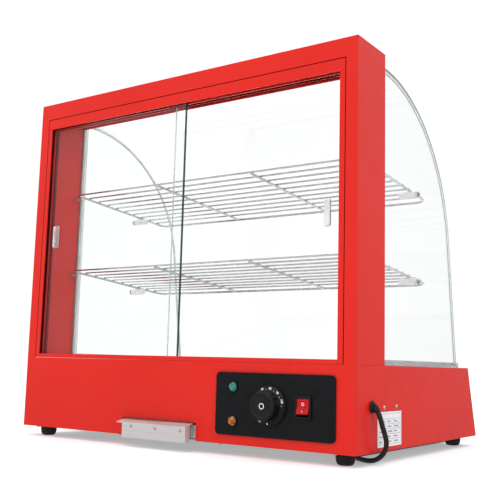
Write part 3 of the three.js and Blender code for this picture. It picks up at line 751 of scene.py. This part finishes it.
# ---- sheet metal and other CAD nodes that keep their shape ----
dress(["front_frame", "base_housing"], RED, 0.35, 2)
dress(["jamb_left", "jamb_right", "door_track_top", "door_track_bottom"], RED, 0.25)
dress(["bottom_plate", "thermostat_body", "tray_runner_left", "tray_runner_right"], GALVANISED, 0.3)
dress(["element_bracket_left", "element_bracket_right"], GALVANISED, 0.3)
dress(["floor_plate", "water_tray", "tray_handle"], STAINLESS, 0.4)
dress(["side_gasket_left", "side_gasket_right", "front_gasket"], GASKET, 0.4)
dress(["terminal_block"], TERMINAL_PLASTIC, 0.5)
dress(["control_panel"], PANEL, 0.5, 3)
dress(["switch_housing"], BLACK, 0.6, 3)


# ---- glass ----
CURVE_Y, CURVE_Z, CURVE_R = 118.5, 324.0, 273.0
CURVE_END = math.radians(7.88)
PANE = 5.0
CURVED_LOW, CURVED_HIGH = mm_box("curved_glass")
SIDE_LOW, SIDE_HIGH = mm_box("side_glass_right")
SIDE_INSET = CURVED_HIGH.z - SIDE_HIGH.z


def pane_line(start, inset, low, steps=64):
    """The curved pane's side view moved inwards by an inset: flat, bend, straight fall."""
    r = CURVE_R - inset
    line = [(start, CURVE_Z + r)]
    for i in range(steps + 1):
        a = math.pi / 2 + (CURVE_END - math.pi / 2) * i / steps
        line.append((CURVE_Y + r * math.cos(a), CURVE_Z + r * math.sin(a)))
    y, z = line[-1]
    line.append((y + (z - low) * math.tan(CURVE_END), low))
    return line


def pane(name, axis, outline, low, high, body, node, edge_material, face_axis=None):
    """A glass pane with ground edges, which have a material of their own."""
    bm = bmesh.new()
    prism(bm, axis, outline, low, high)
    bevel(bm, 0.5, 2)
    bm.normal_update()
    for face in bm.faces:
        across = abs(face.normal[face_axis]) if face_axis is not None else 0.0
        cut_end = abs(face.normal.x) > 0.3 or face.calc_center_median().z < at(0, 0, low).z
        edge = across < 0.99 if face_axis is not None else cut_end
        face.material_index = int(edge)
    return show(name, bm, [GLASS, edge_material], body, (node,), 18)


for side, body, cut_edge in (("left", "left_door", GREEN_EDGE), ("right", "right_door", PALE_EDGE)):
    node = f"{side}_door_glass"
    low, high = mm_box(node)
    outline = [(low.x, low.z), (high.x, low.z), (high.x, high.z), (low.x, high.z)]
    pane(f"{side}_door_pane", "y", outline, low.y, high.y, body, node, cut_edge, 1)

side_outline = [(SIDE_LOW.y, SIDE_LOW.z), *pane_line(SIDE_LOW.y, SIDE_INSET, SIDE_LOW.z)[::-1]]
for side in ("left", "right"):
    low, high = mm_box(f"side_glass_{side}")
    pane(f"side_pane_{side}", "x", side_outline, low.x, high.x, "case", f"side_glass_{side}", PALE_EDGE, 0)
curve_outline = [
    *pane_line(CURVED_LOW.y, PANE, CURVED_LOW.z),
    *pane_line(CURVED_LOW.y, 0, CURVED_LOW.z)[::-1],
]
pane("curved_pane", "x", curve_outline, CURVED_LOW.x, CURVED_HIGH.x, "case", "curved_glass", PALE_EDGE)

# a sealant bead between each side pane's curved edge and the curved pane
BEAD_SINK = 0.3  # it sinks this far into both, so that no gap shows
BEAD_SIDE = 0.8  # and keeps this far inside the side pane's faces
BEAD_LOW = SIDE_LOW.z + 8
BEAD_START = SIDE_LOW.y + 4
bead_outline = [
    *pane_line(BEAD_START, SIDE_INSET + BEAD_SINK, BEAD_LOW),
    *pane_line(BEAD_START, PANE - BEAD_SINK, BEAD_LOW)[::-1],
]
for side in ("left", "right"):
    low, high = mm_box(f"side_glass_{side}")
    bm = bmesh.new()
    prism(bm, "x", bead_outline, low.x + BEAD_SIDE, high.x - BEAD_SIDE)
    bevel(bm, 0.6, 2)
    show(f"silicone_bead_{side}", bm, [SILICONE], "case")


# ---- finger pulls ----
def finger_pull(side, body):
    """A clear strip with a rib along its outer edge and rounded ends."""
    node = f"{side}_door_pull"
    low, high = mm_box(node)
    rib = 1 if side == "right" else -1
    middle = (low.x + high.x) / 2
    half = (high.x - low.x) / 2
    back = high.y
    section = rounded(
        [(-6, 0), (6, 0), (6, -4.2), (3.4, -4.2), (1.5, -1.6), (-5, -1.4), (-6, -0.6), (-6, 0)], 0.6
    )[1:-1]
    length = high.z - low.z
    end = 4.5
    bm = bmesh.new()
    rings = []
    stops = [0, 0.25, 0.7, 1.4, 2.3, 3.4, end]
    for z in [*stops, *[length - s for s in reversed(stops)]]:
        into = min(z, length - z, end) / end
        round_off = math.sqrt(max(1 - (1 - into) ** 2, 0.0))
        wide = 0.45 + 0.55 * round_off
        thick = 0.55 + 0.45 * round_off
        points = [at(middle + rib * a / 6 * half * wide, back + b * thick, low.z + z) for a, b in section]
        rings.append([bm.verts.new(p) for p in points])
    bridge(bm, rings)
    show(f"{side}_finger_pull", bm, [CLEAR_PLASTIC], body, (node,), 50)


finger_pull("left", "left_door")
finger_pull("right", "right_door")


# ---- wire shelves ----
TILT = math.radians(4.86)
SHELF_PIVOT = 248.0
SHELF_HALF = 296.5
FRAME_WIRE = 2.2
BAR_WIRE = 1.5
SHELF_LEVELS = {"upper": BASE_LOW + 411, "lower": BASE_LOW + 266}
SHELF_ENDS = [(y - SHELF_PIVOT) / math.cos(TILT) for y in (74, 322)]
SHELF_CORNER = 18.0


def shelf_point(level, x, along, rise):
    """A point given in the shelf's own tilted plane, measured from its pegs."""
    y = SHELF_PIVOT + along * math.cos(TILT) + rise * math.sin(TILT)
    z = SHELF_LEVELS[level] - along * math.sin(TILT) + rise * math.cos(TILT)
    return at(x, y, z)


def wire_shelf(level):
    """A hoop open at the front, two cross wires, and the bars that lie on them."""
    front, back = SHELF_ENDS
    hoop = [(-SHELF_HALF, front)]
    for side in (-1, 1):
        bend = []
        for i in range(13):
            a = i / 12 * math.pi / 2
            x = SHELF_HALF - SHELF_CORNER * (1 - math.cos(a))
            bend.append((side * x, back - SHELF_CORNER * (1 - math.sin(a))))
        hoop += bend if side < 0 else bend[::-1]
    hoop.append((SHELF_HALF, front))
    lines = [[shelf_point(level, x, s, 0) for x, s in hoop]]
    for x in (-100, 100):
        lines.append([shelf_point(level, x, s, 0) for s in (front, back)])
    body = f"{level}_rack"
    stands_for = (f"{level}_shelf",)
    wire(f"{level}_shelf_frame", lines, FRAME_WIRE, CHROME, body, stands_for, 4)
    rise = FRAME_WIRE + BAR_WIRE - 0.7
    bars = []
    for i in range(10):
        s = front + i * (back - front) / 10 + 2
        bars.append([shelf_point(level, x, s, rise) for x in (-SHELF_HALF, SHELF_HALF)])
    wire(f"{level}_shelf_bars", bars, BAR_WIRE, CHROME, body, (), 3)


wire_shelf("upper")
wire_shelf("lower")


# ---- screws ----
def screw_head(bm, axis, centre, radius, height):
    """A domed head with a cross recess."""
    dome = [(radius * math.cos(t), height * math.sin(t)) for t in (0, 0.25, 0.5, 0.8, 1.1, 1.35)]
    head = bmesh.new()
    lathe(head, axis, centre, [(0, 0), (radius * 0.98, 0), *dome, (0, height)], 32)
    mesh = bpy.data.meshes.new("screw_blank")
    head.to_mesh(mesh)
    head.free()
    blank = bpy.data.objects.new("screw_blank", mesh)
    u, v, w = frame_along(axis)
    tool = bmesh.new()
    for a, b in ((u, v), (v, u)):
        corners = []
        for i in (-1, 1):
            for j in (-1, 1):
                for k in (0.45, 1.6):
                    reach = a * radius * 0.62 * i + b * radius * 0.13 * j + w * height * k
                    corners.append(tool.verts.new(at(*centre) + reach * MM))
        bmesh.ops.convex_hull(tool, input=corners)
    cross = bpy.data.meshes.new("screw_cross")
    tool.to_mesh(cross)
    tool.free()
    cutter = bpy.data.objects.new("screw_cross", cross)
    for thing in (blank, cutter):
        scene.collection.objects.link(thing)
    cut = blank.modifiers.new("cut", "BOOLEAN")
    cut.operation = "DIFFERENCE"
    cut.solver = "EXACT"
    cut.use_self = True
    cut.object = cutter
    bpy.context.view_layer.update()
    done = blank.evaluated_get(bpy.context.evaluated_depsgraph_get()).to_mesh()
    bm.from_mesh(done)
    for thing in (blank, cutter):
        bpy.data.objects.remove(thing)
    return bm


def inward_rod(node, sign):
    """The outer end's centre, the length and the radius of a CAD rod that points inwards."""
    low, high = mm_box(node)
    root = high.x if sign > 0 else low.x
    centre = (root, (low.y + high.y) / 2, (low.z + high.z) / 2)
    return centre, high.x - low.x, (high.z - low.z) / 2


SCREW_AIR = 0.3
for level in SHELF_LEVELS:
    for side, sign in (("left", -1), ("right", 1)):
        inward, outward = (-sign, 0, 0), (sign, 0, 0)
        node = f"{level}_shelf_peg_{side}"
        root, length, radius = inward_rod(node, sign)
        profile = [
            (0, length),
            (radius, length),
            (radius, 0),
            (radius - 1.5, 0),
            (radius - 1.8, 1.2),
            (0, 1.2),
        ]
        bm = lathe(bmesh.new(), inward, root, rounded(profile, 0.7), 40)
        show(f"{level}_peg_{side}", bm, [PEG_PLASTIC], "case", (node,), 50)

        node = f"{level}_peg_screw_{side}"
        low, high = mm_box(node)
        face = SIDE_HIGH.x + SCREW_AIR
        tall = high.x - face if sign > 0 else -face - low.x
        centre = (sign * face, *root[1:])
        bm = screw_head(bmesh.new(), outward, centre, (high.z - low.z) / 2, tall)
        show(f"{level}_glass_screw_{side}", bm, [ZINC], "case", (node,), 35)

        node = f"{level}_shelf_pin_{side}"
        root, length, radius = inward_rod(node, sign)
        profile = rounded([(0, 0), (radius, 0), (radius, length), (0, length)], 1.2)
        bm = lathe(bmesh.new(), inward, root, profile, 32)
        show(f"{level}_pin_{side}", bm, [ZINC], "case", (node,), 50)

SIDE_SCREWS = ((88.8, 78.0), (130.4, 78.3))
LIP_SCREWS = (-297, -100, 104, 297)

bm = bmesh.new()
for y, z in SIDE_SCREWS:
    screw_head(bm, (1, 0, 0), (HALF + LIFT, y, z), 3.1, 1.8)
show("side_screws", bm, [BRASS], "case", (), 35)

bm = bmesh.new()
for x in LIP_SCREWS:
    screw_head(bm, (0, 0, -1), (x, 5.5, BASE_LOW - LIFT), 3.4, 2.0)
show("lip_screws", bm, [ZINC], "case", (), 35)


# ---- printed label, left blank but for its table ----
LABEL_Y, LABEL_Z = (67, 147), (23, 72)
LABEL_MARGIN = 4
LABEL_ROW = 7.0
RULE = 0.45  # width of a printed line


def make_label():
    """A blank film, its ruled table, and a plain bar in each cell in place of words."""
    bm = bmesh.new()
    block(bm, HALF + LIFT, HALF + 0.2, *LABEL_Y, *LABEL_Z)
    show("blank_label", bm, [LABEL], "case")
    x0, x1 = HALF + 0.22, HALF + 0.26
    rows = [LABEL_Z[0] + 3.5 + LABEL_ROW * i for i in range(6)]
    left, right = LABEL_Y[0] + LABEL_MARGIN, LABEL_Y[1] - LABEL_MARGIN
    bm = bmesh.new()
    for z in (*rows, LABEL_Z[1] - 3.0):
        block(bm, x0, x1, left, right, z, z + RULE)
    for y in (left, left + 26, left + 48, right - RULE):
        block(bm, x0, x1, y, y + RULE, rows[0], rows[-1] + RULE)
    columns = (left + 2, left + 29, left + 51)
    for row, z in enumerate(rows[:-1]):
        for column, y in enumerate(columns):
            width = (17 - 2 * column) * (0.6 + 0.4 * ((row * 2 + column) % 3) / 2)
            block(bm, x0, x1, y, y + width, z + 2.6, z + 4.6)
    show("label_table", bm, [LABEL_INK], "case")


make_label()


# ---- controls ----
PANEL_FACE = mm_box("control_panel")[0].y
KNOB_LOW, KNOB_HIGH = mm_box("thermostat_knob")
KNOB_X = (KNOB_LOW.x + KNOB_HIGH.x) / 2
KNOB_Z = (KNOB_LOW.z + KNOB_HIGH.z) / 2
KNOB_BACK = KNOB_HIGH.y
OUTWARD = (0, -1, 0)


def make_knob():
    """A skirted knob with a finely fluted grip and a dished face."""
    profile = [
        (0, 0.3),
        (27.6, 0.3),
        (28.4, 0.5),
        (28.5, 2.1),
        (26.6, 4.5),
        (22.6, 5.5),
        (21.5, 5.9),
        (21.3, 7.0),
        (20.9, 18.4),
        (20.2, 20.6),
        (18.6, 21.4),
        (16.9, 21.45),
        (15.9, 20.7),
        (0, 20.6),
    ]
    bm = bmesh.new()

    def fluted(angle, height):
        return 1 - 0.011 * (0.5 + 0.5 * math.cos(54 * angle)) if 7.5 < height < 18 else 1.0

    lathe(bm, OUTWARD, (KNOB_X, KNOB_BACK, KNOB_Z), rounded(profile, 0.5), 324, False, fluted)
    show("dial_knob", bm, [BLACK], "dial", ("thermostat_knob",), 40)


def clock(degrees):
    """Unit directions out from the knob's axis and clockwise round it, seen from the front."""
    a = math.radians(degrees)
    return Vector((math.sin(a), 0, math.cos(a))), Vector((math.cos(a), 0, -math.sin(a)))


SKIRT_SLOPE = math.atan2(1.0, 4.0)
DIAL_START = -149.0  # degrees clockwise from the top
DIAL_STEP = 31.6


def skirt_frame(degrees, radius):
    """A place on the knob's skirt, with its own right, up and outward directions."""
    out, right = clock(degrees)
    up = out * math.cos(SKIRT_SLOPE) + Vector((0, 1, 0)) * math.sin(SKIRT_SLOPE)
    height = 5.5 - (radius - 22.6) / 4.0
    place = at(KNOB_X, KNOB_BACK - height, KNOB_Z) + out * radius * MM
    turn = Matrix((right, up, right.cross(up))).transposed().to_4x4()
    return Matrix.Translation(place) @ turn


def make_dial_numbers():
    """Generic numbers with a dot between each two, raised a little from the skirt."""
    bm = bmesh.new()
    marks = [(str(30 + 10 * i), DIAL_START + DIAL_STEP * i, 24.8, 4.4) for i in range(8)]
    marks.append(("0", 180.0, 24.8, 4.0))
    for text, degrees, radius, size in marks:
        font = bpy.data.curves.new("digit", "FONT")
        font.body = text
        font.size = size * MM
        font.align_x = "CENTER"
        font.align_y = "CENTER"
        font.extrude = 0.06 * MM
        font.offset = 0.13 * MM
        font.resolution_u = 4
        holder = bpy.data.objects.new("digit", font)
        scene.collection.objects.link(holder)
        bpy.context.view_layer.update()
        made = holder.evaluated_get(bpy.context.evaluated_depsgraph_get()).to_mesh()
        made.transform(skirt_frame(degrees, radius) @ Matrix.Translation((0, 0, 0.1 * MM)))
        bm.from_mesh(made)
        bpy.data.objects.remove(holder)
    for i in range(8):
        place = skirt_frame(DIAL_START + DIAL_STEP * (i + 0.5), 23.6)
        dot = bmesh.ops.create_cone(
            bm, cap_ends=True, segments=16, radius1=0.6 * MM, radius2=0.55 * MM, depth=0.3 * MM
        )
        bmesh.ops.transform(bm, matrix=place, verts=dot["verts"])
    show("dial_numbers", bm, [INK], "dial", (), 40)


def make_dial_ring():
    """A plain inlaid ring in the middle of the knob."""
    bm = bmesh.new()
    ring = [(3.1, 20.5), (3.1, 20.85), (4.2, 20.85), (4.2, 20.5)]
    lathe(bm, OUTWARD, (KNOB_X, KNOB_BACK, KNOB_Z), ring, 48, True)
    show("dial_ring", bm, [INK], "dial", (), 40)


def make_lamp(name, node, jewel):
    """A cut lens in a black bezel."""
    low, high = mm_box(node)
    x, z = (low.x + high.x) / 2, (low.z + high.z) / 2
    bm = bmesh.new()
    ring = [(6.1, 0), (8.25, 0), (8.25, 1.1), (7.8, 1.8), (7.2, 1.9), (7.0, 0.9), (6.1, 0.8)]
    lathe(bm, OUTWARD, (x, PANEL_FACE - 0.3, z), ring, 48, True)
    show(f"{name}_bezel", bm, [BLACK], "case", (), 40)
    bm = bmesh.new()
    u, v, w = frame_along(OUTWARD)
    rings = []
    facets = 9
    profile = ((5.8, -19), (5.8, 0.9), (6.95, 0.95), (6.9, 2.2), (5.1, 4.4), (2.6, 5.6))
    for step, (radius, height) in enumerate(profile):
        middle = at(x, PANEL_FACE - 0.3, z) + w * height * MM
        twist = 0.5 * step if step > 2 else 0
        ring = []
        for i in range(facets):
            a = 2 * math.pi * (i + twist) / facets
            ring.append(bm.verts.new(middle + (u * math.cos(a) + v * math.sin(a)) * radius * MM))
        rings.append(ring)
    rings.append([bm.verts.new(at(x, PANEL_FACE - 0.3, z) + w * 5.9 * MM)])
    bridge(bm, rings)
    bmesh.ops.triangulate(bm, faces=bm.faces)
    show(f"{name}_lens", bm, [jewel], "case", (node,), 5)


ROCKER_PIVOT = (2.0, (mm_box("switch_housing")[0].z + mm_box("switch_housing")[1].z) / 2)
ROCKER_X = (mm_box("switch_rocker")[0].x + mm_box("switch_rocker")[1].x) / 2
ROCKER_TILT = math.radians(-10)


def rocker_point(y, z):
    """A point of the rocker's side view, turned to its resting tilt."""
    c, s = math.cos(ROCKER_TILT), math.sin(ROCKER_TILT)
    return ROCKER_PIVOT[0] + y * c - z * s, ROCKER_PIVOT[1] + y * s + z * c


def make_rocker():
    """The button with its hollowed face, a ring for off and a bar for on."""
    face = []
    for i in range(13):
        z = -10.0 + 20.0 * i / 12
        face.append((-7.2 - 1.75 * (abs(z) / 10) ** 1.3, z))
    outline = [(2, -6), (-8.4, -10.8), *face, (-8.4, 10.8), (2, 6)]
    bm = bmesh.new()
    prism(bm, "x", [rocker_point(y, z) for y, z in outline], ROCKER_X - 9.4, ROCKER_X + 9.4)
    bevel(bm, 0.5, 2, 25)
    show("rocker_button", bm, [ROCKER], "rocker", ("switch_rocker",), 30)
    bm = bmesh.new()
    y, z = rocker_point(-7.75, 3.4)
    lean = math.atan2(1.75 / 10, 1) + ROCKER_TILT
    normal = (0, -math.cos(lean), math.sin(lean))
    lathe(bm, normal, (ROCKER_X, y, z), [(1.5, -0.1), (1.5, 0.12), (2.2, 0.12), (2.2, -0.1)], 32, True)
    bottom, top = rocker_point(-8.62, -8.4), rocker_point(-8.1, -5.4)
    bar = [bottom, top, (top[0] + 0.3, top[1]), (bottom[0] + 0.3, bottom[1])]
    prism(bm, "x", bar, ROCKER_X - 0.35, ROCKER_X + 0.35)
    show("rocker_marks", bm, [INK], "rocker", (), 40)


make_knob()
make_dial_numbers()
make_dial_ring()
make_lamp("power", "power_lamp", GREEN_LENS)
make_lamp("heat", "heat_lamp", AMBER_LENS)
make_rocker()
dress(["thermostat_shaft"], ZINC, 0.3)


# ---- tray, element and feet ----
HANDLE_FACE = mm_box("tray_handle")[0].y
RIVETS = ((-57, 33.2), (-7, 32.6), (43, 32.2))

bm = bmesh.new()
for x, z in RIVETS:
    profile = [(0, -0.4), (2.5, -0.4), (2.5, 0.15), (2.1, 0.55), (1.2, 0.8), (0, 0.85)]
    lathe(bm, OUTWARD, (x, HANDLE_FACE, z), rounded(profile, 0.3), 28)
show("handle_rivets", bm, [ZINC], "tray", (), 50)


ELEMENT_RADIUS = 4.0
ELEMENT_REACH = 235.0  # half the straight runs' length
ELEMENT_TAIL = 45
ELEMENT_ROWS = (140, 210, 280, 350)
ELEMENT_RISE = 78


def make_element():
    """A tube that runs across the base four times, with both ends on the right."""
    reach, rows, z = ELEMENT_REACH, ELEMENT_ROWS, BASE_LOW + ELEMENT_RISE
    points = [(reach + ELEMENT_TAIL, rows[0], z)]
    for row, y in enumerate(rows[:-1]):
        side = -1 if row % 2 == 0 else 1
        bend = (rows[row + 1] - y) / 2
        for i in range(19):
            a = -math.pi / 2 + i / 18 * math.pi
            points.append((side * (reach + bend * math.cos(a)), y + bend + bend * math.sin(a), z))
    points.append((reach + ELEMENT_TAIL, rows[-1], z))
    line = [at(*point) for point in points]
    stands_for = ("heating_element",)
    wire("element_tube", [line], ELEMENT_RADIUS, ELEMENT, "case", stands_for, 5)


make_element()


def make_foot(node):
    """A tapered round rubber foot with a screw recess in its underside."""
    low, high = mm_box(node)
    x, y = (low.x + high.x) / 2, (low.y + high.y) / 2
    tall = high.z - low.z
    profile = [
        (0, 2.4),
        (3.4, 2.4),
        (3.8, 0.4),
        (4.6, 0),
        (8.4, 0),
        (11.3, 1.5),
        (13.0, 5.0),
        (14.5, 16.4),
        (14.5, tall),
        (0, tall),
    ]
    bm = lathe(bmesh.new(), (0, 0, 1), (x, y, low.z), rounded(profile, 1.0), 48)
    show(node.replace("foot", "rubber_foot"), bm, [RUBBER], "case", (node,), 50)


for end in ("front", "back"):
    for side in ("left", "right"):
        make_foot(f"foot_{end}_{side}")
